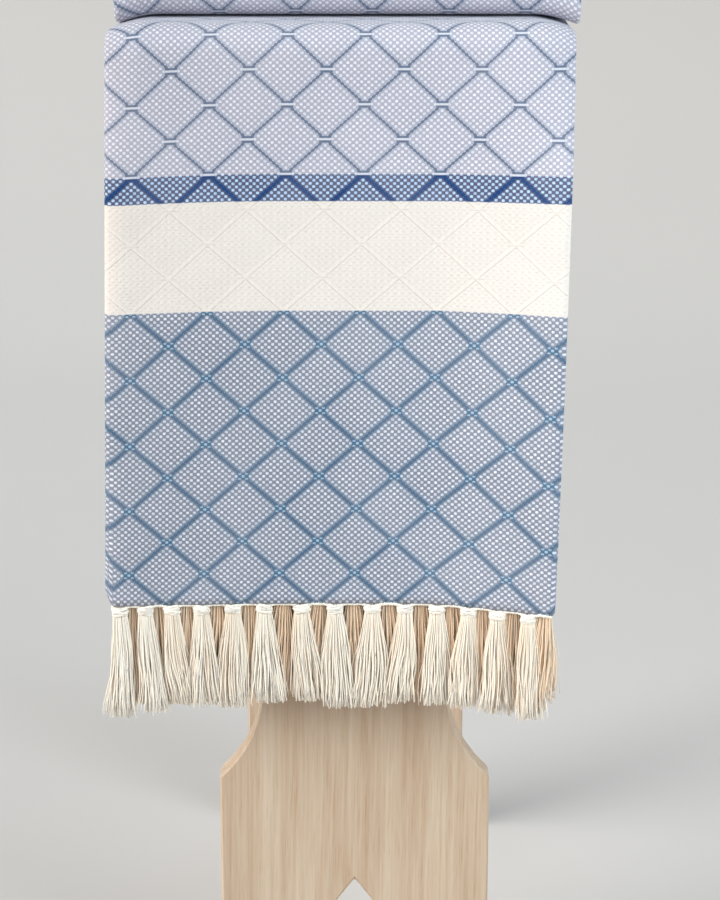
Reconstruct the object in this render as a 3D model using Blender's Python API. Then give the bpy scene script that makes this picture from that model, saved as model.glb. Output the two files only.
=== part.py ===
"""Fringed throw blanket, folded in four and laid over a stool with plank legs.

Metres, +Z up. The floor is z = 0 and the front hem faces -Y. The origin lies on the floor
under the middle of the whole thing. The strip of folded cloth starts at its front hem, rises
up the front, lies back and forth on the seat and ends in a short hang behind it.
"""

import math
import random

import bmesh
import bpy
from mathutils import Vector

# Stool
STOOL_X = 0.0105        # the strip hangs a little left of the stool's middle
SEAT_FRONT = -0.2035    # y of the seat's front face
SEAT_TOP = 0.745
SEAT_WIDTH = 0.270
SEAT_DEPTH = 0.430
SEAT_THICK = 0.024
SEAT_ROUND = 0.010      # radius of the seat's edges
FRONT_LEG_WIDTH = 0.203
REAR_LEG_WIDTH = 0.192
LEG_THICK = 0.022
LEG_INSET = 0.030       # from the seat's front and rear faces
BITE_RADIUS = 0.100     # round bite in each side of a leg
BITE_HEIGHT = 0.265     # height of the bite's middle
NECK_WIDTH = 0.138      # what is left of the leg between the bites
ARCH_WIDTH = 0.080      # pointed arch at the foot
ARCH_HEIGHT = 0.108
RAIL_HEIGHT = 0.080
RAIL_THICK = 0.022
WOOD_BEVEL = 0.0015
BEVEL_FROM = 30.0       # edges bent by more than these degrees are bevelled
ARCH_STEPS = 6
BITE_STEPS = 12
JOINT_GAP = 0.0003      # between pieces that meet

# Folded cloth
CLOTH = 0.0018          # thickness of the weave
PITCH_ON_SEAT = 0.0028  # from one layer's middle to the next, where the layers are pressed
PITCH_AT_HEM = 0.0042   # the same where they hang free
STRIP_WIDTH = 0.323
TOP_FOLD_WIDTH = 0.329  # the strip lies a little wider in the loose upper fold
SELVEDGE_SETBACK = (0.003, 0.007)  # how far the two selvedges stop short of the right fold
REST_GAP = 0.0004       # cloth above the seat
EDGE_CLEAR = 0.0020     # cloth in front of and behind the seat's faces
FRONT_BEND = 0.0088     # radius of the strip's inside face over the seat's front edge
HEM_HEIGHT = 0.3445     # z of the front hem, away from its left end
REAR_HANG = 0.050
REAR_FOLD_INSET = 0.030  # centre of the rear fold, from the seat's rear face
PASS_GAP = 0.0014       # between the lower pass and the middle pass
UPPER_FOLD_SETBACK = 0.050  # front of the upper fold, behind the seat's front face
UPPER_FOLD_BULGE = 0.0030   # radius inside the loose upper fold
UPPER_PASS_GAP = 0.0015     # between the middle pass and the top pass, away from the bulge
BULGE_LENGTH = 0.080
REAR_BEND = 0.024       # radius of the strip's inside face over the rear

# How the cloth settles
DROOP = 0.0070          # the strip's sides sink past the seat's sides by this
DROOP_START = 0.134     # distance from the strip's middle where they start to sink
DROOP_SPAN = 0.029
DROOP_POWER = 1.6
DROOP_FADE = 0.090      # length of hanging cloth over which the sides come forward again
FLARE = 0.028           # the right bottom corner swings forward by this
FLARE_START = 0.44      # share of the right half that stays flat
FLARE_ROUND = 1.25      # how softly the turned part leaves the flat one
FLARE_RISE = 2.5        # the swing starts steeply below the seat and slackens to the hem
CURL = 0.004            # the left bottom edge curls back by this
CURL_START = 0.5        # share of the left half that stays flat
LEFT_DROP = 0.0035      # the hem's left end hangs lower than the rest by this
DROP_START = -0.24      # where it starts to, as a share of half the width

# Sideways place of the strip's middle, from the stool's middle
SHIFT_AT_HEM = -0.019
SHIFT_AT_FRONT = -0.0095
SHIFT_OF_UPPER_FOLD = -0.005
SHIFT_AT_REAR = -0.003

# Fringe
FRINGE_LENGTH = 0.079   # from the hem to the tips
CORNER_TASSEL = 0.154   # last tassel of the layers behind, at the right fold
STRIP_GAP = 0.0004      # between the hem and the fringe's root strip
ROOT_STRIP = 0.0025     # height of that strip
KNOT_DROP = 0.0042      # from the root strip to the knot's widest point
NECK_DROP = 0.0100      # from the root strip to the knot's lower end
BELLY_DROP = 0.036      # from the root strip to the locks' middle
SWAY = 0.0017           # tips stray sideways by up to this
BELLY_LEAN = 0.35       # share of that at the locks' middle
LENGTH_SCATTER = 0.0040
FRONT_SEED = 3
REAR_SEED = 8

# Half sizes of a tassel, sideways and front to back
SPLIT_COLUMNS = (-0.0042, -0.0014, 0.0014, 0.0042)  # roots of a tassel with three locks
SINGLE_COLUMNS = (-0.0034, 0.0034)                  # root of a tassel with one lock
KNOT_SPREAD = 1.15
NECK_SPREAD = 0.90
KNOT_DEPTH = 0.0025
KNOT_EDGE_DEPTH = 0.0015
NECK_DEPTH = 0.0015
BELLY_OFFSET = 0.0049   # outer locks from the middle one, at the belly
TIP_OFFSET = 0.0062     # the same at the tips
BELLY_HALF = (0.0020, 0.0016)
TIP_HALF = (0.0026, 0.0011)
NEIGHBOUR_GAP = 0.0004  # left between the tips of neighbours when both stray

LAYERS = 4
SPLIT_LAYER = 3         # the face that shows has tassels of three locks

# Knots along the face that shows, in millimetres from the strip's middle
FACE_KNOTS = (-150, -131.5, -112.5, -91, -68.5, -46, -19, 5, 32, 55.5, 78.5, 101, 121.5, 143)

# Points across each layer, from the strip's middle
BREAKS = (-0.149, -DROOP_START, -0.105, -0.075, -0.045,
          FLARE_START * STRIP_WIDTH / 2, 0.105, DROOP_START, 0.149)
OUTER_TURN_STEPS = 4
INNER_TURN_STEPS = 3

# Name, red, green, blue, roughness
COLOURS = {
    "cloth": (0.36, 0.42, 0.56, 0.95),
    "yarn": (0.86, 0.82, 0.74, 0.95),
    "wood": (0.60, 0.46, 0.31, 0.60),
}


def smooth(share):
    """Ease from 0 to 1 with no corner at either end."""
    share = min(max(share, 0.0), 1.0)
    return share * share * (3.0 - 2.0 * share)


def mix(first, last, share):
    return first + (last - first) * share


def stack_height(pitch):
    """Thickness of the four layers together."""
    return (LAYERS - 1) * pitch + CLOTH


def material(name):
    red, green, blue, roughness = COLOURS[name]
    made = bpy.data.materials.new(name)
    made.use_nodes = True
    surface = made.node_tree.nodes["Principled BSDF"]
    surface.inputs["Base Color"].default_value = (red, green, blue, 1.0)
    surface.inputs["Roughness"].default_value = roughness
    surface.inputs["Metallic"].default_value = 0.0
    made.diffuse_color = (red, green, blue, 1.0)
    return made


def add_object(bm, name, finish, sharp_degrees=50.0):
    """Close a bmesh into a named object with its faces pointing out."""
    bmesh.ops.recalc_face_normals(bm, faces=bm.faces[:])
    mesh = bpy.data.meshes.new(name)
    bm.to_mesh(mesh)
    bm.free()
    mesh.shade_smooth()
    mesh.set_sharp_from_angle(angle=math.radians(sharp_degrees))
    mesh.materials.append(finish)
    made = bpy.data.objects.new(name, mesh)
    bpy.context.scene.collection.objects.link(made)
    return made


def add_bevel(piece, width, segments):
    bevel = piece.modifiers.new("Bevel", "BEVEL")
    bevel.width = width
    bevel.segments = segments
    bevel.limit_method = "ANGLE"
    bevel.angle_limit = math.radians(BEVEL_FROM)
    return bevel


def board(name, finish, low, high, radius, segments):
    """A board between two corners with rounded edges."""
    bm = bmesh.new()
    bmesh.ops.create_cube(bm, size=1.0)
    low, high = Vector(low), Vector(high)
    for vert in bm.verts:
        for axis in range(3):
            vert.co[axis] = mix(low[axis], high[axis], vert.co[axis] + 0.5)
    piece = add_object(bm, name, finish)
    add_bevel(piece, radius, segments)
    return piece


# Wooden stool

def arc_points(centre, radius, start, end, steps):
    """Points on an arc in the leg's own plane, angles in degrees."""
    points = []
    for step in range(steps + 1):
        angle = math.radians(mix(start, end, step / steps))
        points.append((centre[0] + radius * math.cos(angle), centre[1] + radius * math.sin(angle)))
    return points


def leg_side(width):
    """The right half of a leg's outline, from the arch's point round to the top."""
    half_arch = ARCH_WIDTH / 2
    arch_radius = (half_arch ** 2 + ARCH_HEIGHT ** 2) / ARCH_WIDTH
    arch_centre = (half_arch - arch_radius, 0.0)
    arch_end = math.degrees(math.asin(ARCH_HEIGHT / arch_radius))
    outline = arc_points(arch_centre, arch_radius, arch_end, 0.0, ARCH_STEPS)

    half_leg = width / 2
    outline.append((half_leg, 0.0))
    bite_centre = (NECK_WIDTH / 2 + BITE_RADIUS, BITE_HEIGHT)
    bite_half = math.degrees(math.acos((bite_centre[0] - half_leg) / BITE_RADIUS))
    outline += arc_points(bite_centre, BITE_RADIUS, 180.0 + bite_half, 180.0 - bite_half, BITE_STEPS)

    top = SEAT_TOP - SEAT_THICK - JOINT_GAP
    outline.append((half_leg, top))
    return outline


def leg(name, finish, width, front_face):
    """A plank leg whose front face is at the given y."""
    right = leg_side(width)
    left = [(-x, z) for x, z in reversed(right[1:])]
    bm = bmesh.new()
    ring = [bm.verts.new((STOOL_X + x, front_face, z)) for x, z in right + left]
    face = bm.faces.new(ring)
    pushed = bmesh.ops.extrude_face_region(bm, geom=[face], use_keep_orig=True)["geom"]
    moved = [part for part in pushed if isinstance(part, bmesh.types.BMVert)]
    bmesh.ops.translate(bm, vec=(0.0, LEG_THICK, 0.0), verts=moved)
    piece = add_object(bm, name, finish)
    add_bevel(piece, WOOD_BEVEL, 1)
    return piece


def stool():
    wood = material("wood")
    seat_rear = SEAT_FRONT + SEAT_DEPTH
    underside = SEAT_TOP - SEAT_THICK
    board("seat", wood,
          (STOOL_X - SEAT_WIDTH / 2, SEAT_FRONT, underside),
          (STOOL_X + SEAT_WIDTH / 2, seat_rear, SEAT_TOP), SEAT_ROUND, 4)
    front_leg = SEAT_FRONT + LEG_INSET
    rear_leg = seat_rear - LEG_INSET - LEG_THICK
    leg("front_leg", wood, FRONT_LEG_WIDTH, front_leg)
    leg("rear_leg", wood, REAR_LEG_WIDTH, rear_leg)
    rail_top = underside - JOINT_GAP
    board("rail", wood,
          (STOOL_X - RAIL_THICK / 2, front_leg + LEG_THICK + JOINT_GAP, rail_top - RAIL_HEIGHT),
          (STOOL_X + RAIL_THICK / 2, rear_leg - JOINT_GAP, rail_top), WOOD_BEVEL, 1)


# The way of the strip over the stool

def strip_path():
    """The strip's parts from the front hem to the rear hem.

    Each row holds name, length of a straight part, turn in degrees, radius of a turn at the
    strip's inside face, and steps. A negative turn has the inside face on its inner side.
    """
    stack = stack_height(PITCH_ON_SEAT)
    seat_rear = SEAT_FRONT + SEAT_DEPTH
    bend_y = SEAT_FRONT - EDGE_CLEAR + FRONT_BEND
    bend_z = SEAT_TOP + REST_GAP - FRONT_BEND
    rear_fold_y = seat_rear - REAR_FOLD_INSET
    front_fold_y = SEAT_FRONT + UPPER_FOLD_SETBACK + stack + UPPER_FOLD_BULGE
    rear_bend_y = seat_rear + EDGE_CLEAR - REAR_BEND
    return (
        ("front_hang", bend_z - HEM_HEIGHT, 0.0, 0.0, 8),
        ("front_bend", 0.0, -90.0, FRONT_BEND, 5),
        ("lower_pass", rear_fold_y - bend_y, 0.0, 0.0, 3),
        ("rear_fold", 0.0, 180.0, stack + PASS_GAP / 2, 6),
        ("middle_pass", rear_fold_y - front_fold_y, 0.0, 0.0, 3),
        ("upper_fold", 0.0, -180.0, UPPER_FOLD_BULGE, 7),
        ("top_pass", rear_bend_y - front_fold_y, 0.0, 0.0, 6),
        ("rear_bend", 0.0, -90.0, REAR_BEND, 5),
        ("rear_hang", REAR_HANG, 0.0, 0.0, 2),
    )


def part_length(name):
    """Length of one straight part of the strip."""
    return next(row[1] for row in strip_path() if row[0] == name)


class Station:
    """One cut across the strip: its part, the share of that part gone by, place and heading."""

    def __init__(self, part, share, y, z, heading):
        self.part = part
        self.share = share
        self.y = y
        self.z = z
        self.heading = heading

    def outward(self):
        """Direction from the inside layer to the face that shows, in y and z."""
        angle = math.radians(self.heading + 90.0)
        return math.cos(angle), math.sin(angle)


def walk_strip():
    """Stations along the strip's inside face."""
    y, z, heading = SEAT_FRONT - EDGE_CLEAR, HEM_HEIGHT, 90.0
    stations = [Station("front_hang", 0.0, y, z, heading)]
    for part, length, turn, radius, steps in strip_path():
        start_y, start_z, start_heading = y, z, heading
        for step in range(1, steps + 1):
            share = step / steps
            if turn == 0.0:
                along = math.radians(start_heading)
                y = start_y + length * share * math.cos(along)
                z = start_z + length * share * math.sin(along)
            else:
                side = 1.0 if turn > 0.0 else -1.0
                first = math.radians(start_heading + 90.0)
                heading = start_heading + turn * share
                now = math.radians(heading + 90.0)
                y = start_y + side * radius * (math.cos(first) - math.cos(now))
                z = start_z + side * radius * (math.sin(first) - math.sin(now))
            stations.append(Station(part, share, y, z, heading))
    return stations


def strip_shift(station):
    """Sideways place of the strip's middle at a station."""
    rows = {
        "front_hang": (SHIFT_AT_HEM, SHIFT_AT_FRONT),
        "front_bend": (SHIFT_AT_FRONT, SHIFT_AT_FRONT),
        "lower_pass": (SHIFT_AT_FRONT, SHIFT_OF_UPPER_FOLD),
        "rear_fold": (SHIFT_OF_UPPER_FOLD, SHIFT_OF_UPPER_FOLD),
        "middle_pass": (SHIFT_OF_UPPER_FOLD, SHIFT_OF_UPPER_FOLD),
        "upper_fold": (SHIFT_OF_UPPER_FOLD, SHIFT_OF_UPPER_FOLD),
        "top_pass": (SHIFT_OF_UPPER_FOLD, SHIFT_AT_REAR),
        "rear_bend": (SHIFT_AT_REAR, SHIFT_AT_REAR),
        "rear_hang": (SHIFT_AT_REAR, SHIFT_AT_REAR),
    }
    first, last = rows[station.part]
    return mix(first, last, station.share)


def strip_width(station):
    if station.part in ("front_hang", "front_bend"):
        return STRIP_WIDTH
    if station.part == "lower_pass":
        return mix(STRIP_WIDTH, TOP_FOLD_WIDTH, station.share)
    return TOP_FOLD_WIDTH


def layer_pitch(station):
    """Layers are pressed together on the seat and hang looser down the front."""
    if station.part == "front_hang":
        return mix(PITCH_AT_HEM, PITCH_ON_SEAT, smooth(station.share))
    if station.part == "rear_hang":
        return mix(PITCH_ON_SEAT, PITCH_AT_HEM, smooth(station.share))
    return PITCH_ON_SEAT


def droop(across):
    """How far the strip sinks past the seat's sides, by distance from its own middle."""
    beyond = max(abs(across) - DROOP_START, 0.0) / DROOP_SPAN
    return DROOP * beyond ** DROOP_POWER


def hang_outward(across, fallen):
    """How far the hanging strip leaves its plane, by place across (-1 to 1) and share fallen."""
    aside = max(across - FLARE_START, 0.0) / (1.0 - FLARE_START)
    risen = 1.0 - max(1.0 - fallen, 0.0) ** FLARE_RISE
    swing = FLARE * aside ** FLARE_ROUND * risen
    curl = CURL * smooth((-across - CURL_START) / (1.0 - CURL_START)) * fallen
    return swing - curl


def left_share(across):
    """From 0 where the hem starts to fall towards its left end, to 1 at that end."""
    return min(max(DROP_START - across, 0.0) / (DROP_START + 1.0), 1.0)


def place(station, x, n):
    """World point of the section's point (x, n) at a station."""
    from_middle = strip_shift(station) + x
    out_y, out_z = station.outward()
    sunk = droop(x)
    if station.part == "front_hang":
        fallen = 1.0 - station.share
        half = STRIP_WIDTH / 2
        sunk *= 1.0 - smooth(fallen * part_length("front_hang") / DROOP_FADE)
        n += hang_outward(x / half, fallen) - sunk
        down = LEFT_DROP * fallen * left_share(x / half) ** 2
    elif station.part in ("front_bend", "rear_bend", "rear_hang"):
        n -= sunk
        down = 0.0
    else:
        down = sunk
    if station.part in ("top_pass", "rear_bend"):
        down += upper_pass_fall(station)
    y = station.y + n * out_y
    z = station.z + n * out_z - down
    return Vector((STOOL_X + from_middle, y, z))


def upper_pass_fall(station):
    """The top pass sinks from the loose fold on to the pass below it."""
    fall = 2 * UPPER_FOLD_BULGE - UPPER_PASS_GAP
    if station.part == "rear_bend":
        return fall * (1.0 - station.share)
    return fall * smooth(station.share * part_length("top_pass") / BULGE_LENGTH)


# Lengthwise folds: the section across the strip

def turn_points(centre_x, low_n, high_n, side, steps, upwards):
    """Inner points of a half turn between two layers, side -1 on the left and 1 on the right."""
    radius = (high_n - low_n) / 2
    middle = (high_n + low_n) / 2
    points = []
    for step in range(1, steps):
        angle = math.radians(mix(-90.0, 90.0, step / steps))
        points.append((centre_x + side * radius * math.cos(angle), middle + radius * math.sin(angle)))
    return points if upwards else points[::-1]


def section_line(width, pitch, breaks):
    """Middle line of the four layers as one back-and-forth curve of (x, n) points.

    It starts at the selvedge of layer 0, next to the stool, turns at the left into layer 3,
    which shows, at the right into layer 2, and at the left inside that turn into layer 1.
    breaks gives each layer's inner points across, from left to right.
    """
    level = [CLOTH / 2 + layer * pitch for layer in range(LAYERS)]
    left = -width / 2 + 1.5 * pitch + CLOTH / 2
    right = width / 2 - 0.5 * pitch - CLOTH / 2

    def run(layer, first, last):
        inner = sorted(breaks[layer], reverse=last < first)
        return [(x, level[layer]) for x in [first, *inner, last]]

    line = run(0, width / 2 - SELVEDGE_SETBACK[0], left)
    line += turn_points(left, level[0], level[3], -1, OUTER_TURN_STEPS, True)
    line += run(3, left, right)
    line += turn_points(right, level[2], level[3], 1, INNER_TURN_STEPS, False)
    line += run(2, right, left)
    line += turn_points(left, level[1], level[2], -1, INNER_TURN_STEPS, False)
    line += run(1, left, width / 2 - SELVEDGE_SETBACK[1])
    return line


def section_skins(line):
    """The two faces of the cloth on either side of its middle line."""
    skins = [[], []]
    last = len(line) - 1
    for index, (x, n) in enumerate(line):
        before = line[max(index - 1, 0)]
        after = line[min(index + 1, last)]
        along = Vector((after[0] - before[0], after[1] - before[1])).normalized()
        for skin, side in zip(skins, (0.5, -0.5)):
            skin.append((x - along.y * CLOTH * side, n + along.x * CLOTH * side))
    return skins


def sweep(bm, rings):
    """Join rings of (front row, back row) of verts into one closed body."""
    for (front, back), (next_front, next_back) in zip(rings, rings[1:]):
        ring = front + back[::-1]
        following = next_front + next_back[::-1]
        for index in range(len(ring)):
            after = (index + 1) % len(ring)
            bm.faces.new((ring[index], ring[after], following[after], following[index]))
    caps = []
    for front, back in (rings[0], rings[-1]):
        quads = []
        for index in range(len(front) - 1):
            corners = (front[index], front[index + 1], back[index + 1], back[index])
            quads.append(bm.faces.new(corners))
        caps.append(quads)
    return caps


def ring_at(bm, station, line):
    """Verts of both faces of the cloth at one station."""
    return [[bm.verts.new(place(station, x, n)) for x, n in skin] for skin in section_skins(line)]


def blanket():
    bm = bmesh.new()
    rings = []
    for station in walk_strip():
        line = section_line(strip_width(station), layer_pitch(station), [BREAKS] * LAYERS)
        rings.append(ring_at(bm, station, line))
    sweep(bm, rings)
    return add_object(bm, "blanket", material("cloth"))


# Fringe

def tassel_centres(layer):
    """Places of a layer's tassels across the strip. Every second layer fills the gaps of the next."""
    knots = [knot / 1000.0 for knot in FACE_KNOTS]
    if layer % 2 == SPLIT_LAYER % 2:
        return knots
    return [(left + right) / 2 for left, right in zip(knots, knots[1:])] + [CORNER_TASSEL]


def tip_room(centres, index):
    """Half of the width that a tassel's tips may fill."""
    here = centres[index]
    nearest = min(abs(here - other) for other in centres if other != here)
    return min(TIP_OFFSET + TIP_HALF[0], nearest / 2 - SWAY - NEIGHBOUR_GAP)


def tassel_columns(layer):
    return SPLIT_COLUMNS if layer == SPLIT_LAYER else SINGLE_COLUMNS


def grow(bm, loop_front, loop_back, new_front, new_back):
    """Walls from one row pair of verts down to the next."""
    old = loop_front + loop_back[::-1]
    new = new_front + new_back[::-1]
    for index in range(len(old)):
        after = (index + 1) % len(old)
        bm.faces.new((old[index], old[after], new[after], new[index]))


def tassel(bm, front, back, outward, room, rng):
    """Knot and locks below one stretch of the root strip's lower face.

    front and back are the stretch's verts from left to right, front on the outward side.
    """
    count = len(front)
    middle = sum((vert.co for vert in front + back), Vector()) / (2 * count)
    forward = Vector((0.0, outward, 0.0))
    columns = [(front[i].co.x + back[i].co.x) / 2 - middle.x for i in range(count)]

    def row(centre, offsets, depths, side):
        return [bm.verts.new(centre + Vector((offset, 0.0, 0.0)) + forward * depth * side)
                for offset, depth in zip(offsets, depths)]

    def level(drop, spread, depths):
        centre = middle - Vector((0.0, 0.0, drop))
        offsets = [column * spread for column in columns]
        return row(centre, offsets, depths, 1.0), row(centre, offsets, depths, -1.0)

    split = count > 2
    knot_depths = [KNOT_EDGE_DEPTH, KNOT_DEPTH, KNOT_DEPTH, KNOT_EDGE_DEPTH] if split else [KNOT_DEPTH] * 2
    knot = level(KNOT_DROP, KNOT_SPREAD, knot_depths)
    grow(bm, front, back, *knot)
    neck = knot
    if split:
        neck = level(NECK_DROP, NECK_SPREAD, [NECK_DEPTH] * count)
        grow(bm, *knot, *neck)

    lean = rng.uniform(-SWAY, SWAY)
    reach = FRINGE_LENGTH - STRIP_GAP - ROOT_STRIP
    full = TIP_OFFSET + TIP_HALF[0]
    for lock in range(count - 1):
        aside = lock - 1 if split else 0
        length = reach + rng.uniform(-LENGTH_SCATTER, LENGTH_SCATTER)
        top = ([neck[0][lock], neck[0][lock + 1]], [neck[1][lock], neck[1][lock + 1]])
        levels = ((BELLY_DROP, BELLY_LEAN, BELLY_OFFSET, BELLY_HALF),
                  (length, 1.0, TIP_OFFSET, TIP_HALF))
        for drop, lean_share, offset, (half, depth) in levels:
            half = (half if split else offset + half) * room / full
            offset *= aside * room / full
            centre = middle + Vector((offset + lean * lean_share, 0.0, -drop))
            next_row = (row(centre, (-half, half), (depth, depth), 1.0),
                        row(centre, (-half, half), (depth, depth), -1.0))
            grow(bm, *top, *next_row)
            top = next_row
        bm.faces.new((*top[0], *top[1][::-1]))


def key_of(x, n):
    """Section point rounded to a tenth of a micron, to look it up by."""
    return round(x, 7), round(n, 7)


def fringe(name, finish, hem_station, beyond, outward, seed):
    """Root strip and tassels below a hem.

    beyond(distance) gives the station that lies past the hem by that distance, and outward is
    the sign in y of the face that shows.
    """
    rng = random.Random(seed)
    width = strip_width(hem_station)
    pitch = layer_pitch(hem_station)
    breaks = []
    for layer in range(LAYERS):
        columns = tassel_columns(layer)
        breaks.append([centre + column for centre in tassel_centres(layer) for column in columns])
    line = section_line(width, pitch, breaks)
    bm = bmesh.new()
    rings = [ring_at(bm, beyond(drop), line) for drop in (STRIP_GAP, STRIP_GAP + ROOT_STRIP)]
    caps = sweep(bm, rings)
    front, back = rings[-1]
    where = {key_of(x, n): index for index, (x, n) in enumerate(line)}
    for layer in range(LAYERS):
        level = CLOTH / 2 + layer * pitch
        columns = tassel_columns(layer)
        centres = tassel_centres(layer)
        for index, centre in enumerate(centres):
            found = [where[key_of(centre + column, level)] for column in columns]
            gone = [caps[1][min(pair)] for pair in zip(found, found[1:])]
            bmesh.ops.delete(bm, geom=gone, context="FACES_ONLY")
            rows = [[skin[place] for place in found] for skin in (front, back)]
            rows.sort(key=lambda row: row[0].co.y * outward, reverse=True)
            tassel(bm, *rows, outward, tip_room(centres, index), rng)
    return add_object(bm, name, finish)


def fringes():
    yarn = material("yarn")
    stations = walk_strip()
    first, last = stations[0], stations[-1]
    front_length = part_length("front_hang")
    rear_length = part_length("rear_hang")

    def past_front(distance):
        return Station("front_hang", -distance / front_length, first.y, first.z - distance, first.heading)

    def past_rear(distance):
        return Station("rear_hang", 1.0 + distance / rear_length, last.y, last.z - distance, last.heading)

    fringe("front_fringe", yarn, first, past_front, -1.0, FRONT_SEED)
    fringe("rear_fringe", yarn, last, past_rear, 1.0, REAR_SEED)


def main():
    for old in list(bpy.data.objects):
        bpy.data.objects.remove(old, do_unlink=True)
    stool()
    blanket()
    fringes()


if __name__ == "__main__":
    main()
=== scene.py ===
"""Fringed diamond-weave throw, folded in four and laid over a stool with plank legs.

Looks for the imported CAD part, in the part's own frame: metres, +Z up, floor at z = 0 and the
front hem towards -Y. The folded cloth and its fringes stand in for their CAD solids. The
boards of the stool are the CAD's own, with an oak finish.
"""

import math
import random

import bmesh
import bpy
from bpy.props import FloatProperty, FloatVectorProperty, IntProperty, PointerProperty
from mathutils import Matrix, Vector, noise


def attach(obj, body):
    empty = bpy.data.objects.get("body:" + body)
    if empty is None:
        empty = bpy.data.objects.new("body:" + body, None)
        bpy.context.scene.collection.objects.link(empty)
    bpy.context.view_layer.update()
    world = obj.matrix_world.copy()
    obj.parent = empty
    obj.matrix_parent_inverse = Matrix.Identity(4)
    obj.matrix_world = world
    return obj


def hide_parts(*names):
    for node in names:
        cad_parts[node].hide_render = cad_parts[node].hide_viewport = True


bl_info = {
    "name": "Folded Diamond Throw",
    "version": (1, 0, 0),
    "blender": (4, 5, 0),
    "location": "3D View > Sidebar > Throw",
    "description": "Folds a fringed diamond-weave throw over the CAD frame of a plank stool",
    "category": "Add Mesh",
}

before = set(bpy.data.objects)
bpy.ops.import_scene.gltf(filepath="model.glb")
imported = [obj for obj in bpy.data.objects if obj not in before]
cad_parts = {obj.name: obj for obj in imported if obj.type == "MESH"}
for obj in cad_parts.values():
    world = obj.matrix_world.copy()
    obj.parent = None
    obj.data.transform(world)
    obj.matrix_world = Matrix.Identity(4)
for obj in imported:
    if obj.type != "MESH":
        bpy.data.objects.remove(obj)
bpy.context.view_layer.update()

# Way of the folded strip over the stool, the same as in the CAD
STOOL_X = 0.0105
SEAT_FRONT = -0.2035
SEAT_REAR = 0.2265
SEAT_TOP = 0.745
PITCH_ON_SEAT = 0.0028
PITCH_AT_HEM = 0.0042
STRIP_WIDTH = 0.323
TOP_FOLD_WIDTH = 0.329
SELVEDGE_SETBACK = (0.003, 0.007)
REST_GAP = 0.0004
EDGE_CLEAR = 0.0020
FRONT_BEND = 0.0088
HEM_HEIGHT = 0.3445
REAR_HANG = 0.050
REAR_FOLD_INSET = 0.030
PASS_GAP = 0.0014
UPPER_FOLD_SETBACK = 0.050
UPPER_FOLD_BULGE = 0.0030
UPPER_PASS_GAP = 0.0015
BULGE_LENGTH = 0.080
REAR_BEND = 0.024
DROOP = 0.0070
DROOP_START = 0.134
DROOP_SPAN = 0.029
DROOP_POWER = 1.6
DROOP_FADE = 0.090
FLARE = 0.028
FLARE_START = 0.44
FLARE_ROUND = 1.25
FLARE_RISE = 2.5
CURL = 0.004
CURL_START = 0.5
LEFT_DROP = 0.0035
DROP_START = -0.24
SHIFT_AT_HEM = -0.019
SHIFT_AT_FRONT = -0.0095
SHIFT_OF_UPPER_FOLD = -0.005
SHIFT_AT_REAR = -0.003
LAYERS = 4
FACE_LAYER = 3

# Knots along the face that shows, in millimetres from the strip's middle
FACE_KNOTS = (-150, -131.5, -112.5, -91, -68.5, -46, -19, 5, 32, 55.5, 78.5, 101, 121.5, 143)
CORNER_TASSEL = 154

# Tassels
KNOT_WIDE = 0.0056       # half width of a knot
KNOT_TALL = 0.0026       # half height
KNOT_DROP = 0.0040       # its middle below the hem
NECK_DROP = 0.0050       # where the loose strands start, below the hem
NECK_WIDE = 0.0050       # half width of the bundle there
TIP_WIDE = 0.0112        # the most that the tips reach to each side
FAN_REACH = 0.026        # warp ends from this far apart run into one knot
FAN_ENDS = (-0.155, 0.157)
LEFT_LONGER = 0.09       # the two tassels at the left are longer by this share
HEM_ENDS = (-0.156, 0.1585)
HEM_STEPS = 260
HEM_TWIST = 0.0052       # length of one twist of the hem's edge
HEM_PULL = 0.0024        # the edge is drawn down by this at a knot

# Weave of the face
FACE_COLUMNS = 57
NODE_COLUMN = 0.0176    # one crossing of the lattice, from the strip's middle
NODE_ROW = 0.2125       # the same, from the hem
BOW = 0.0040            # the weft rows lie lower by this at the strip's left end
HANG_SPREAD = 0.03      # the weave is drawn this much wider at the hem
EDGE_BULK = 0.20        # the folds along both sides are thicker than the middle by this share
EDGE_ROLL = 0.0035      # the hang's left edge rolls back by this
ROLL_START = 0.145      # from this far left of the strip's middle
HIDDEN_RISE = 0.008     # hems of the layers behind end this much higher
RISE_LENGTH = 0.060     # length over which they draw up
BAND_ENDS = (0.2125, 0.2885, 0.3073)  # steel blue, cream and royal blue end here, from a hem


def colour(red, green, blue):
    """Linear colour from an 8-bit screen colour."""
    def linear(value):
        share = value / 255.0
        return share / 12.92 if share <= 0.04045 else ((share + 0.055) / 1.055) ** 2.4
    return linear(red), linear(green), linear(blue)


def colour_property(name, description, screen):
    return FloatVectorProperty(name=name, description=description, subtype="COLOR",
                               size=3, min=0.0, max=1.0, default=colour(*screen))


def length_property(name, description, default):
    return FloatProperty(name=name, description=description, default=default, min=0.0,
                         unit="LENGTH", precision=4)


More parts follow.
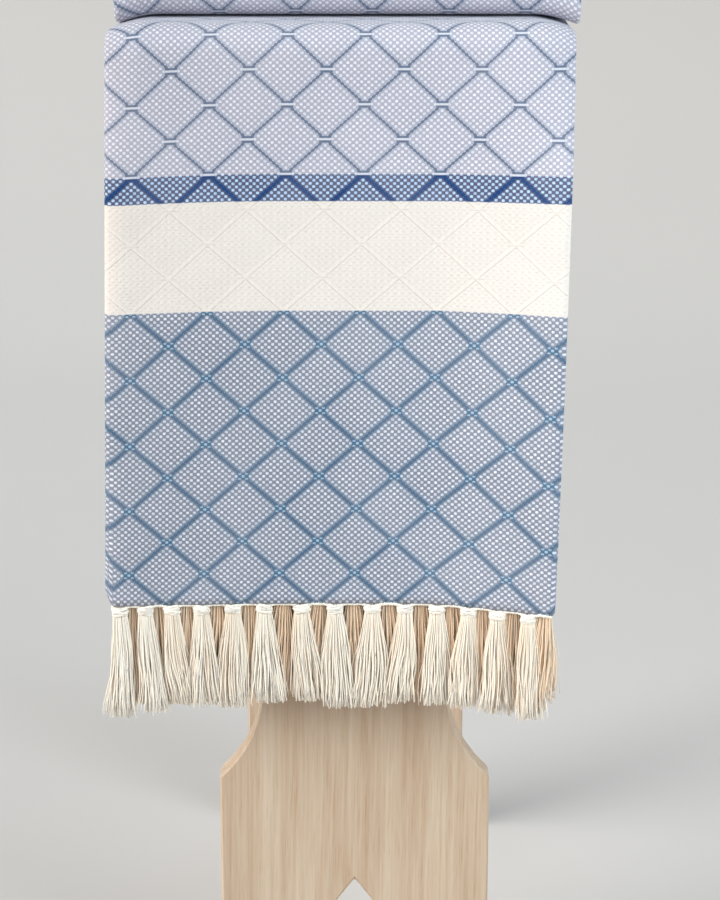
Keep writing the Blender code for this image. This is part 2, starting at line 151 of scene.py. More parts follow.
class ThrowCloth(bpy.types.PropertyGroup):
    thickness: length_property("Thickness", "Thickness of the woven cloth", 0.0018)
    diamond_width: length_property("Diamond width", "Width of one diamond of the lattice", 0.053)
    diamond_height: length_property("Diamond height", "Height of one diamond", 0.0474)
    cells: IntProperty(name="Weave cells", description="Warp floats across one diamond",
                       default=11, min=4)
    puff: length_property("Puff", "Height of each diamond's soft bulge", 0.0006)
    lilac: colour_property("Lilac warp", "Light floats of the upper ground", (238, 236, 243))
    lilac_weft: colour_property("Lilac weft", "Dark floats of the upper ground", (152, 150, 165))
    lilac_line: colour_property("Upper lattice", "Thin lattice of the upper ground", (96, 109, 132))
    steel_weft: colour_property("Steel weft", "Dark floats of the lower ground", (97, 106, 124))
    steel_line: colour_property("Lower lattice", "Broad lattice of the lower ground", (72, 98, 124))
    steel_node: colour_property("Lower crossings", "Pale floats where the lines cross", (178, 208, 228))
    royal_warp: colour_property("Royal warp", "Light floats of the blue stripe", (184, 212, 246))
    royal_weft: colour_property("Royal weft", "Dark floats of the blue stripe", (0, 20, 74))
    royal_line: colour_property("Royal lattice", "Lattice of the blue stripe", (0, 54, 108))
    cream: colour_property("Cream", "Yarn of the cream stripe", (224, 215, 206))


class ThrowFringe(bpy.types.PropertyGroup):
    length: length_property("Length", "From the hem to the tips", 0.0765)
    face_strands: IntProperty(name="Face strands", description="Strands in a tassel that shows",
                              default=150, min=6)
    hidden_strands: IntProperty(name="Hidden strands", description="Strands in a tassel behind",
                                default=80, min=6)
    yarn: length_property("Yarn", "Thickness of one strand", 0.00105)
    light: colour_property("Light yarn", "Palest strands", (255, 242, 228))
    # The warm yarn is also the colour of the painted shade on the strands behind, in shaded tassels and
    # near the knots.
    warm: colour_property("Warm yarn", "Warmest strands", (246, 213, 181))


class StoolFinish(bpy.types.PropertyGroup):
    pale: colour_property("Pale oak", "Open grain of the oak", (203, 183, 161))
    brown: colour_property("Brown oak", "Dense grain of the oak", (172, 142, 113))


class StudioStage(bpy.types.PropertyGroup):
    paper: colour_property("Backdrop", "Paper of the floor and backdrop", (208, 204, 202))
    key: FloatProperty(name="Key light", description="Strength of the window light on the left",
                       default=3.6, min=0.0)
    top: FloatProperty(name="Top light", description="Strength of the cool light from above",
                       default=0.9, min=0.0)
    side: FloatProperty(name="Side light", description="Power of the near cool light on the right",
                        default=4.0, min=0.0)
    fill: FloatProperty(name="Fill light", description="Strength of the light from all round",
                        default=0.28, min=0.0)


# Way of the strip

def smooth(share):
    """Ease from 0 to 1 with no corner at either end."""
    share = min(max(share, 0.0), 1.0)
    return share * share * (3.0 - 2.0 * share)


def mix(first, last, share):
    return first + (last - first) * share


def left_share(across):
    """From 0 where the rows start to fall towards the left end, to 1 at that end."""
    return min(max(DROP_START - across, 0.0) / (DROP_START + 1.0), 1.0)


def free_face(station):
    """How free the face is to bulge at a station, from 0 to 1."""
    if station.part in ("rear_fold", "middle_pass"):
        return 0.0
    if station.part == "lower_pass":
        return 1.0 - smooth(station.share / 0.10)
    if station.part == "upper_fold":
        return smooth(station.share)
    return 1.0


def strip_path(thickness):
    """Parts of the strip: name, straight length, turn in degrees, radius of its turn, steps."""
    stack = (LAYERS - 1) * PITCH_ON_SEAT + thickness
    bend_y = SEAT_FRONT - EDGE_CLEAR + FRONT_BEND
    bend_z = SEAT_TOP + REST_GAP - FRONT_BEND
    rear_fold_y = SEAT_REAR - REAR_FOLD_INSET
    front_fold_y = SEAT_FRONT + UPPER_FOLD_SETBACK + stack + UPPER_FOLD_BULGE
    rear_bend_y = SEAT_REAR + EDGE_CLEAR - REAR_BEND
    return (
        ("front_hang", bend_z - HEM_HEIGHT, 0.0, 0.0, 76),
        ("front_bend", 0.0, -90.0, FRONT_BEND, 10),
        ("lower_pass", rear_fold_y - bend_y, 0.0, 0.0, 36),
        ("rear_fold", 0.0, 180.0, stack + PASS_GAP / 2, 12),
        ("middle_pass", rear_fold_y - front_fold_y, 0.0, 0.0, 16),
        ("upper_fold", 0.0, -180.0, UPPER_FOLD_BULGE, 14),
        ("top_pass", rear_bend_y - front_fold_y, 0.0, 0.0, 62),
        ("rear_bend", 0.0, -90.0, REAR_BEND, 10),
        ("rear_hang", REAR_HANG, 0.0, 0.0, 10),
    )


class Station:
    """One cut across the strip: its part, the share of that part gone by, place and heading."""

    def __init__(self, part, share, y, z, heading):
        self.part = part
        self.share = share
        self.y = y
        self.z = z
        self.heading = heading

    def outward(self):
        """Direction from the inside layer to the face that shows, in y and z."""
        angle = math.radians(self.heading + 90.0)
        return math.cos(angle), math.sin(angle)


class Strip:
    """The folded strip: stations along it and the section across it."""

    def __init__(self, thickness):
        self.thickness = thickness
        self.path = strip_path(thickness)
        self.stations = self.walk()

    def part_length(self, name):
        return next(row[1] for row in self.path if row[0] == name)

    def walk(self):
        """Stations along the strip's inside face."""
        y, z, heading = SEAT_FRONT - EDGE_CLEAR, HEM_HEIGHT, 90.0
        stations = [Station("front_hang", 0.0, y, z, heading)]
        for part, length, turn, radius, steps in self.path:
            start_y, start_z, start_heading = y, z, heading
            for step in range(1, steps + 1):
                share = step / steps
                if turn == 0.0:
                    along = math.radians(start_heading)
                    y = start_y + length * share * math.cos(along)
                    z = start_z + length * share * math.sin(along)
                else:
                    side = 1.0 if turn > 0.0 else -1.0
                    first = math.radians(start_heading + 90.0)
                    heading = start_heading + turn * share
                    now = math.radians(heading + 90.0)
                    y = start_y + side * radius * (math.cos(first) - math.cos(now))
                    z = start_z + side * radius * (math.sin(first) - math.sin(now))
                stations.append(Station(part, share, y, z, heading))
        return stations

    def shift(self, station):
        """Sideways place of the strip's middle, from the stool's middle."""
        rows = {
            "front_hang": (SHIFT_AT_HEM, SHIFT_AT_FRONT),
            "front_bend": (SHIFT_AT_FRONT, SHIFT_AT_FRONT),
            "lower_pass": (SHIFT_AT_FRONT, SHIFT_OF_UPPER_FOLD),
            "top_pass": (SHIFT_OF_UPPER_FOLD, SHIFT_AT_REAR),
            "rear_bend": (SHIFT_AT_REAR, SHIFT_AT_REAR),
            "rear_hang": (SHIFT_AT_REAR, SHIFT_AT_REAR),
        }
        first, last = rows.get(station.part, (SHIFT_OF_UPPER_FOLD, SHIFT_OF_UPPER_FOLD))
        return mix(first, last, station.share)

    def width(self, station):
        if station.part in ("front_hang", "front_bend"):
            return STRIP_WIDTH
        if station.part == "lower_pass":
            return mix(STRIP_WIDTH, TOP_FOLD_WIDTH, station.share)
        return TOP_FOLD_WIDTH

    def pitch(self, station):
        """Layers are pressed together on the seat and hang looser below it."""
        if station.part == "front_hang":
            return mix(PITCH_AT_HEM, PITCH_ON_SEAT, smooth(station.share))
        if station.part == "rear_hang":
            return mix(PITCH_ON_SEAT, PITCH_AT_HEM, smooth(station.share))
        return PITCH_ON_SEAT

    def place(self, station, x, n):
        """World point of the section's point (x, n) at a station."""
        out_y, out_z = station.outward()
        n *= 1.0 + EDGE_BULK * free_face(station) * (2.0 * x / STRIP_WIDTH) ** 2
        beyond = max(abs(x) - DROOP_START, 0.0) / DROOP_SPAN
        sunk = DROOP * beyond ** DROOP_POWER
        down = 0.0
        if station.part == "front_hang":
            fallen = 1.0 - station.share
            across = x / (STRIP_WIDTH / 2)
            sunk *= 1.0 - smooth(fallen * self.part_length("front_hang") / DROOP_FADE)
            aside = max(across - FLARE_START, 0.0) / (1.0 - FLARE_START)
            risen = 1.0 - max(1.0 - fallen, 0.0) ** FLARE_RISE
            swing = FLARE * aside ** FLARE_ROUND * risen
            curl = CURL * smooth((-across - CURL_START) / (1.0 - CURL_START)) * fallen
            roll = max(-x - ROLL_START, 0.0) / (STRIP_WIDTH / 2 - ROLL_START)
            n += swing - curl - sunk - EDGE_ROLL * roll ** 2 * min(fallen * 5.0, 1.0)
            down = LEFT_DROP * fallen * left_share(across) ** 2
        elif station.part in ("front_bend", "rear_bend", "rear_hang"):
            n -= sunk
        else:
            down = sunk
        fall = 2 * UPPER_FOLD_BULGE - UPPER_PASS_GAP
        if station.part == "rear_bend":
            down += fall * (1.0 - station.share)
        elif station.part == "top_pass":
            down += fall * smooth(station.share * self.part_length("top_pass") / BULGE_LENGTH)
        return Vector((STOOL_X + self.shift(station) + x, station.y + n * out_y,
                       station.z + n * out_z - down))

    def level(self, layer, pitch):
        """Height of a layer's middle above the strip's inside face."""
        return self.thickness / 2 + layer * pitch

    def section(self, width, pitch):
        """Rows of (x, n, layer, next layer, share between them) along the cloth's own width.

        The cloth starts at the selvedge of layer 0, next to the stool, turns at the left into
        layer 3, which shows, at the right into layer 2, and at the left again into layer 1.
        """
        left = -width / 2 + 1.5 * pitch + self.thickness / 2
        right = width / 2 - 0.5 * pitch - self.thickness / 2
        rows = []

        def run(layer, first, last, count):
            for index in range(count):
                x = mix(first, last, index / (count - 1))
                rows.append((x, self.level(layer, pitch), layer, layer, 0.0))

        def turn(layer, next_layer, x, side, steps):
            low, high = self.level(layer, pitch), self.level(next_layer, pitch)
            for step in range(1, steps):
                angle = math.radians(mix(-90.0, 90.0, step / steps))
                reach = side * abs(high - low) / 2 * math.cos(angle)
                n = mix(low, high, (1.0 + math.sin(angle)) / 2)
                rows.append((x + reach, n, layer, next_layer, step / steps))

        coarse = FACE_COLUMNS // 3
        run(0, width / 2 - SELVEDGE_SETBACK[0], left, coarse)
        turn(0, FACE_LAYER, left, -1, 8)
        run(FACE_LAYER, left, right, FACE_COLUMNS)
        turn(FACE_LAYER, 2, right, 1, 5)
        run(2, right, left, coarse)
        turn(2, 1, left, -1, 5)
        run(1, left, width / 2 - SELVEDGE_SETBACK[1], coarse)
        return rows

    def flat_across(self):
        """Place of each section point across the flat cloth, 0 in the middle of the face."""
        rows = self.section(STRIP_WIDTH, PITCH_ON_SEAT)
        across = [0.0]
        for (x, n, *_), (next_x, next_n, *_) in zip(rows, rows[1:]):
            across.append(across[-1] + math.hypot(next_x - x, next_n - n))
        face = [index for index, row in enumerate(rows) if row[2] == row[3] == FACE_LAYER]
        middle = across[face[0]] - rows[face[0]][0]
        return [place - middle for place in across]

    def flat_along(self):
        """Distance from the front hem for each station and layer, along the layer's middle."""
        table = [[0.0] * LAYERS]
        for before, station in zip(self.stations, self.stations[1:]):
            row = []
            for layer in range(LAYERS):
                here = self.place(station, 0.0, self.level(layer, self.pitch(station)))
                there = self.place(before, 0.0, self.level(layer, self.pitch(before)))
                row.append(table[-1][layer] + (here - there).length)
            table.append(row)
        return table

    def past_front(self, distance):
        """Station beyond the front hem."""
        first = self.stations[0]
        share = -distance / self.part_length("front_hang")
        return Station("front_hang", share, first.y, first.z - distance, first.heading)

    def past_rear(self, distance):
        """Station beyond the rear hem."""
        last = self.stations[-1]
        share = 1.0 + distance / self.part_length("rear_hang")
        return Station("rear_hang", share, last.y, last.z - distance, last.heading)


# Objects

def deselect_all():
    if bpy.context.object and bpy.context.object.mode != "OBJECT":
        bpy.ops.object.mode_set(mode="OBJECT")
    bpy.ops.object.select_all(action="DESELECT")


def pick(piece):
    """Make a piece the only selected one and the active one."""
    deselect_all()
    piece.select_set(True)
    bpy.context.view_layer.objects.active = piece


def add_object(name, mesh, finish):
    mesh.materials.append(finish)
    piece = bpy.data.objects.new(name, mesh)
    bpy.context.scene.collection.objects.link(piece)
    return piece


# Node trees

def calc(tree, operation, *values):
    """Output of a Math node on sockets or numbers."""
    made = tree.nodes.new("ShaderNodeMath")
    made.operation = operation
    for socket, value in zip(made.inputs, values):
        feed(tree, value, socket)
    return made.outputs[0]


def times(tree, *values):
    """Product of two sockets or numbers, with a third added to it where it is given."""
    return calc(tree, "MULTIPLY" if len(values) == 2 else "MULTIPLY_ADD", *values)


def feed(tree, value, socket):
    if isinstance(value, bpy.types.NodeSocket):
        tree.links.new(value, socket)
    else:
        socket.default_value = value


def ease(tree, value, low, high):
    """Smooth step of a value from 0 at low to 1 at high."""
    made = tree.nodes.new("ShaderNodeMapRange")
    made.interpolation_type = "SMOOTHSTEP"
    feed(tree, value, made.inputs["Value"])
    feed(tree, low, made.inputs["From Min"])
    feed(tree, high, made.inputs["From Max"])
    return made.outputs["Result"]


def blend(tree, share, first, second, mode="MIX"):
    """Colour between two colours."""
    made = tree.nodes.new("ShaderNodeMix")
    made.data_type = "RGBA"
    made.blend_type = mode
    feed(tree, share, made.inputs["Factor"])
    colours = [socket for socket in made.inputs if socket.type == "RGBA"]
    for socket, value in zip(colours, (first, second)):
        feed(tree, value if isinstance(value, bpy.types.NodeSocket) else (*value, 1.0), socket)
    return next(socket for socket in made.outputs if socket.type == "RGBA")


def grain(tree, vector, scale, detail=2.0, roughness=0.5):
    """Noise value in 0 to 1 at a number of features a metre."""
    made = tree.nodes.new("ShaderNodeTexNoise")
    made.inputs["Scale"].default_value = scale
    made.inputs["Detail"].default_value = detail
    made.inputs["Roughness"].default_value = roughness
    tree.links.new(vector, made.inputs["Vector"])
    return made.outputs["Fac"]


def stretched(tree, vector, scale, turn=(0.0, 0.0, 0.0)):
    """Vector turned and scaled for a pattern."""
    made = tree.nodes.new("ShaderNodeMapping")
    made.inputs["Rotation"].default_value = [math.radians(angle) for angle in turn]
    made.inputs["Scale"].default_value = scale
    tree.links.new(vector, made.inputs["Vector"])
    return made.outputs["Vector"]


def new_group(name, inputs, outputs):
    """Empty shader group with its input and output nodes."""
    tree = bpy.data.node_groups.new(name, "ShaderNodeTree")
    for label, kind, default in inputs:
        socket = tree.interface.new_socket(label, in_out="INPUT", socket_type=kind)
        if default is not None:
            socket.default_value = default
    for label, kind in outputs:
        tree.interface.new_socket(label, in_out="OUTPUT", socket_type=kind)
    return tree, tree.nodes.new("NodeGroupInput"), tree.nodes.new("NodeGroupOutput")


def use_group(tree, group, **values):
    """A group placed in a tree with its inputs set or linked."""
    made = tree.nodes.new("ShaderNodeGroup")
    made.node_tree = group
    for label, value in values.items():
        feed(tree, value, made.inputs[label.replace("_", " ").capitalize()])
    return made


def new_material(name, roughness, sheen=0.0, sheen_tint=(1.0, 1.0, 1.0), specular=0.5):
    made = bpy.data.materials.new(name)
    made.use_nodes = True
    surface = made.node_tree.nodes["Principled BSDF"]
    values = {
        "Roughness": roughness,
        "Sheen Weight": sheen,
        "Sheen Roughness": 0.45,
        "Sheen Tint": (*sheen_tint, 1.0),
        "Specular IOR Level": specular,
        "Subsurface Radius": (1.0, 1.0, 1.0),
        "Subsurface Scale": 0.0004,
    }
    for label, value in values.items():
        surface.inputs[label].default_value = value
    return made, made.node_tree, surface


def add_bump(tree, surface, height, strength, distance):
    bump = tree.nodes.new("ShaderNodeBump")
    bump.inputs["Strength"].default_value = strength
    bump.inputs["Distance"].default_value = distance
    tree.links.new(height, bump.inputs["Height"])
    tree.links.new(bump.outputs["Normal"], surface.inputs["Normal"])


def diamond_weave_group():
    """Masks of a diamond lattice woven in small cells, from flat cloth coordinates in metres."""
    tree, inside, out = new_group(
        "Diamond weave",
        [("Vector", "NodeSocketVector", None), ("Width", "NodeSocketFloat", 0.053),
         ("Height", "NodeSocketFloat", 0.047), ("Cells", "NodeSocketFloat", 11.0),
         ("Line", "NodeSocketFloat", 0.0015)],
        [("Dots", "NodeSocketFloat"), ("Lattice", "NodeSocketFloat"),
         ("Bar", "NodeSocketFloat"), ("Gap", "NodeSocketFloat"), ("Rib", "NodeSocketFloat"),
         ("Halo", "NodeSocketFloat")])
    split = tree.nodes.new("ShaderNodeSeparateXYZ")
    tree.links.new(inside.outputs["Vector"], split.inputs[0])
    wide, high = inside.outputs["Width"], inside.outputs["Height"]
    across = calc(tree, "DIVIDE", split.outputs["X"], wide)
    along = calc(tree, "DIVIDE", split.outputs["Y"], high)

    # One float of the warp in the middle and at the corners of each cell
    turns = times(tree, inside.outputs["Cells"], 2.0 * math.pi)
    wave_x = calc(tree, "COSINE", times(tree, across, turns))
    wave_y = calc(tree, "COSINE", times(tree, along, turns))
    product = times(tree, wave_x, wave_y)
    dots = ease(tree, product, -0.10, 0.55)
    tree.links.new(dots, out.inputs["Dots"])
    tree.links.new(times(tree, wave_x, 0.5, 0.5), out.inputs["Rib"])

    # Distance to the nearest line of the lattice, in metres
    rising = calc(tree, "ADD", across, along)
    falling = calc(tree, "SUBTRACT", across, along)
    near = []
    for slant in (rising, falling):
        whole = calc(tree, "ROUND", slant)
        near.append(calc(tree, "SUBTRACT", slant, whole))
    steep = calc(tree, "SQRT", calc(tree, "ADD", calc(tree, "POWER", wide, -2.0),
                                    calc(tree, "POWER", high, -2.0)))
    closest = calc(tree, "MINIMUM", calc(tree, "ABSOLUTE", near[0]), calc(tree, "ABSOLUTE", near[1]))
    distance = calc(tree, "DIVIDE", closest, steep)
    line = inside.outputs["Line"]
    bitten = times(tree, dots, -0.45)
    outer = times(tree, line, calc(tree, "ADD", bitten, 1.50))
    inner = times(tree, line, calc(tree, "ADD", bitten, 0.85))
    tree.links.new(ease(tree, distance, outer, inner), out.inputs["Lattice"])
    tree.links.new(ease(tree, distance, 0.0060, 0.0012), out.inputs["Halo"])

    # Two bars with a pale gap at each crossing
    half_x = times(tree, calc(tree, "ADD", near[0], near[1]), 0.5)
    half_y = times(tree, calc(tree, "SUBTRACT", near[0], near[1]), 0.5)
    from_x = calc(tree, "ABSOLUTE", times(tree, half_x, wide))
    from_y = calc(tree, "ABSOLUTE", times(tree, half_y, high))
    near_node = ease(tree, from_x, 0.0046, 0.0038)
    bar = times(tree, ease(tree, from_y, 0.0026, 0.0020), near_node)
    gap = times(tree, ease(tree, from_y, 0.0010, 0.0005), near_node)
    tree.links.new(bar, out.inputs["Bar"])
    tree.links.new(gap, out.inputs["Gap"])
    return tree


def cloth_material(settings, whole_length):
    """Weave with its weft bands, mirrored about the middle of the throw's length."""
    material, tree, surface = new_material("throw cloth", 0.92, 0.12, (0.80, 0.90, 1.0), 0.25)
    uv = tree.nodes.new("ShaderNodeUVMap")
    uv.uv_map = "UVMap"
    split = tree.nodes.new("ShaderNodeSeparateXYZ")
    tree.links.new(uv.outputs["UV"], split.inputs[0])
    along = split.outputs["Y"]
    from_end = calc(tree, "MINIMUM", along, calc(tree, "SUBTRACT", whole_length, along))
    past = [ease(tree, from_end, end - 0.0005, end + 0.0005) for end in BAND_ENDS]
    steel = calc(tree, "SUBTRACT", 1.0, past[0])
    cream = calc(tree, "SUBTRACT", past[0], past[1])
    royal = calc(tree, "SUBTRACT", past[1], past[2])
    upper = past[2]

    placed = tree.nodes.new("ShaderNodeVectorMath")
    placed.operation = "SUBTRACT"
    placed.inputs[1].default_value = (NODE_COLUMN, NODE_ROW, 0.0)
    tree.links.new(uv.outputs["UV"], placed.inputs[0])
    wobble = grain(tree, placed.outputs[0], 900.0, 1.0)
    broad = times(tree, calc(tree, "SUBTRACT", 1.0, upper), 0.0003, 0.0008)
    broad = times(tree, royal, 0.0002, broad)
    weave = use_group(tree, diamond_weave_group(), Vector=placed.outputs[0],
                      Width=settings.diamond_width, Height=settings.diamond_height,
                      Cells=float(settings.cells), Line=broad)
    dots, lattice = weave.outputs["Dots"], weave.outputs["Lattice"]
    bar, gap, rib = weave.outputs["Bar"], weave.outputs["Gap"], weave.outputs["Rib"]

    weft = blend(tree, steel, settings.lilac_weft, settings.steel_weft)
    weft = blend(tree, royal, weft, settings.royal_weft)
    weft = blend(tree, times(tree, wobble, 0.20), weft, settings.lilac)
    haloed = times(tree, steel, 0.25, 0.45)
    haloed = times(tree, weave.outputs["Halo"], haloed)
    warp = blend(tree, haloed, settings.lilac, settings.steel_node)
    warp = blend(tree, royal, warp, settings.royal_warp)
    uneven = ease(tree, grain(tree, placed.outputs[0], 420.0, 1.0), 0.25, 0.75)
    strong = times(tree, royal, 0.16, times(tree, uneven, 0.42, 0.42))
    shown_float = times(tree, dots, strong)
    ground = blend(tree, shown_float, weft, warp)
    line = blend(tree, steel, settings.lilac_line, settings.steel_line)
    line = blend(tree, royal, line, settings.royal_line)
    drawn = blend(tree, lattice, ground, line)
    drawn = blend(tree, bar, drawn, line)
    pale = blend(tree, steel, settings.lilac, settings.steel_node)
    dotted = times(tree, bar, dots)
    pale_gap = times(tree, gap, calc(tree, "SUBTRACT", 1.0, steel))
    shown = calc(tree, "MAXIMUM", pale_gap, times(tree, dotted, steel))
    drawn = blend(tree, times(tree, shown, 0.65), drawn, pale)
    # Cream yarn with its woven ribs; the lattice lines are drawn paler as a painted highlight on their
    # raised ridges.
    ribs_and_ridge_highlight = times(tree, lattice, -0.05, times(tree, rib, 0.06, 0.05))
    cream_yarn = blend(tree, ribs_and_ridge_highlight, settings.cream, settings.lilac_weft)
    drawn = blend(tree, cream, drawn, cream_yarn)
    mottle = ease(tree, grain(tree, placed.outputs[0], 14.0, 3.0), 0.3, 0.7)
    drawn = blend(tree, times(tree, mottle, 0.06), drawn, settings.lilac)
    tree.links.new(drawn, surface.inputs["Base Color"])

    raised = times(tree, dots, calc(tree, "SUBTRACT", 1.0, lattice))
    height = times(tree, raised, 0.35, times(tree, lattice, 0.75))
    height = times(tree, gap, 0.4, height)
    height = times(tree, wobble, 0.2, height)
    height = times(tree, height, times(tree, cream, 0.15, 1.0))
    add_bump(tree, surface, height, 0.8, 0.0006)
    return material


def yarn_material(settings):
    """Cotton strands: pale ones and warm ones, with painted shade: warmer behind and in shaded tassels,
    and warmer near the knots than at the tips.
    """
    material, tree, surface = new_material("fringe yarn", 0.90, 1.0, (1.0, 0.93, 0.83), 0.25)
    surface.inputs["Subsurface Weight"].default_value = 0.6
    strand = tree.nodes.new("ShaderNodeAttribute")
    strand.attribute_name = "strand"
    split = tree.nodes.new("ShaderNodeSeparateColor")
    tree.links.new(strand.outputs["Color"], split.inputs["Color"])
    tint, behind, along = split.outputs["Red"], split.outputs["Green"], split.outputs["Blue"]
    place = tree.nodes.new("ShaderNodeTexCoord")
    fibres = grain(tree, stretched(tree, place.outputs["Object"], (1.0, 1.0, 0.12)), 2600.0, 2.0)
    # Painted shade: strands in the layers behind are drawn warmer, and the tint carries each tassel's
    # painted shade along with its random yarn tint.
    warm = times(tree, tint, 0.50, times(tree, behind, 0.55))
    warm = calc(tree, "ADD", warm, times(tree, fibres, 0.3, -0.15))
    # Painted light: strands are drawn paler towards their tips and warmer near the knots.
    warm = calc(tree, "SUBTRACT", warm, times(tree, along, 0.12))
    tree.links.new(blend(tree, ease(tree, warm, 0.0, 1.0), settings.light, settings.warm),
                   surface.inputs["Base Color"])
    add_bump(tree, surface, fibres, 0.5, 0.0003)
    return material


def oak_grain_group():
    """Streaks of oak running along Z, from object coordinates in metres."""
    tree, inside, out = new_group("Oak grain", [("Vector", "NodeSocketVector", None)],
                                  [("Streak", "NodeSocketFloat"), ("Pore", "NodeSocketFloat"),
                                   ("Figure", "NodeSocketFloat")])
    vector = inside.outputs["Vector"]
    drift = tree.nodes.new("ShaderNodeTexNoise")
    drift.inputs["Scale"].default_value = 3.0
    tree.links.new(vector, drift.inputs["Vector"])
    bent = tree.nodes.new("ShaderNodeVectorMath")
    bent.operation = "MULTIPLY_ADD"
    bent.inputs[1].default_value = (0.012, 0.012, 0.0)
    tree.links.new(drift.outputs["Color"], bent.inputs[0])
    tree.links.new(vector, bent.inputs[2])
    bent = bent.outputs[0]
    streak = grain(tree, stretched(tree, bent, (1.0, 1.0, 0.018)), 320.0, 5.0, 0.65)
    pore = grain(tree, stretched(tree, bent, (1.0, 1.0, 0.03)), 1100.0, 2.0, 0.6)
    figure = grain(tree, stretched(tree, bent, (1.0, 1.0, 0.10)), 46.0, 3.0, 0.55)
    tree.links.new(ease(tree, streak, 0.30, 0.70), out.inputs["Streak"])
    tree.links.new(ease(tree, pore, 0.50, 0.72), out.inputs["Pore"])
    tree.links.new(ease(tree, figure, 0.35, 0.70), out.inputs["Figure"])
    return tree


def oak_material(name, settings, group, turn):
    """Oiled oak whose grain runs along Z once the coordinates are turned."""
    material, tree, surface = new_material(name, 0.55, specular=0.35)
    place = tree.nodes.new("ShaderNodeTexCoord")
    vector = stretched(tree, place.outputs["Object"], (1.0, 1.0, 1.0), turn)
    oak = use_group(tree, group, Vector=vector)
    share = times(tree, oak.outputs["Streak"], 0.45, times(tree, oak.outputs["Figure"], 0.35))
    share = times(tree, oak.outputs["Pore"], 0.25, share)
    tree.links.new(blend(tree, share, settings.pale, settings.brown), surface.inputs["Base Color"])
    tree.links.new(times(tree, oak.outputs["Streak"], 0.15, 0.50), surface.inputs["Roughness"])
    add_bump(tree, surface, calc(tree, "SUBTRACT", 1.0, oak.outputs["Pore"]), 0.25, 0.0003)
    return material


def paper_material(settings):
    material, tree, surface = new_material("studio paper", 0.9, specular=0.2)
    place = tree.nodes.new("ShaderNodeTexCoord")
    cloud = grain(tree, place.outputs["Object"], 0.9, 2.0)
    darker = [value * 0.93 for value in settings.paper]
    tree.links.new(blend(tree, cloud, darker, settings.paper), surface.inputs["Base Color"])
    return material


# Blanket

def puff_height(u, v, settings):
    """Share of the puff at a place of the flat cloth: 0 on the lattice, 1 amid a diamond."""
    across = (u - NODE_COLUMN) / settings.diamond_width
    along = (v - NODE_ROW) / settings.diamond_height
    rise = abs(math.sin(math.pi * (across + along)) * math.sin(math.pi * (across - along)))
    return rise ** 0.6


def hem_rise(station, strip, hidden):
    """How far a layer draws up near a hem. The hidden share is 0 on the face."""
    if station.part == "front_hang":
        from_hem = station.share * strip.part_length("front_hang")
    elif station.part == "rear_hang":
        from_hem = (1.0 - station.share) * strip.part_length("rear_hang")
    else:
        return 0.0
    length = min(RISE_LENGTH, strip.part_length(station.part) * 0.8)
    return HIDDEN_RISE * smooth(hidden * 3.0) * (1.0 - smooth(from_hem / length))


def blanket(settings):
    strip = Strip(settings.thickness)
    across = strip.flat_across()
    along = strip.flat_along()
    bm = bmesh.new()
    uv_layer = bm.loops.layers.uv.new("UVMap")
    grid = []
    for station, lengths in zip(strip.stations, along):
        rows = strip.section(strip.width(station), strip.pitch(station))
        fallen = 1.0 - station.share if station.part == "front_hang" else 0.0
        line = []
        for (x, n, layer, next_layer, share), u in zip(rows, across):
            half = STRIP_WIDTH / 2
            u /= 1.0 + HANG_SPREAD * fallen
            v = mix(lengths[layer], lengths[next_layer], share)
            v -= BOW * (1.0 - left_share(x / half) ** 2) * (1.0 - fallen)
            if layer == next_layer == FACE_LAYER:
                n += settings.puff * puff_height(u, v, settings) * free_face(station)
                wave = noise.noise(Vector((u * 9.0, v * 6.0, 2.0)))
                n += 0.0009 * wave * free_face(station) * (0.3 + 0.7 * fallen)
            point = strip.place(station, x, n)
            hidden = abs(FACE_LAYER - mix(layer, next_layer, share)) / FACE_LAYER
            point.z += hem_rise(station, strip, hidden)
            line.append((bm.verts.new(point), (u, v)))
        grid.append(line)
    for line, following in zip(grid, grid[1:]):
        for index in range(len(line) - 1):
            corners = (line[index], line[index + 1], following[index + 1], following[index])
            face = bm.faces.new([vert for vert, _ in corners])
            face.smooth = True
            for loop, (_, uv) in zip(face.loops, corners):
                loop[uv_layer].uv = uv
    mesh = bpy.data.meshes.new("blanket_cloth")
    bm.to_mesh(mesh)
    bm.free()
    piece = add_object("blanket_cloth", mesh, cloth_material(settings, along[-1][FACE_LAYER]))
    pick(piece)
    solid = piece.modifiers.new("Thickness", "SOLIDIFY")
    solid.thickness = settings.thickness
    solid.offset = 0.0
    solid.use_even_offset = True
    bpy.ops.object.modifier_apply(modifier=solid.name)
    return piece


# Fringe

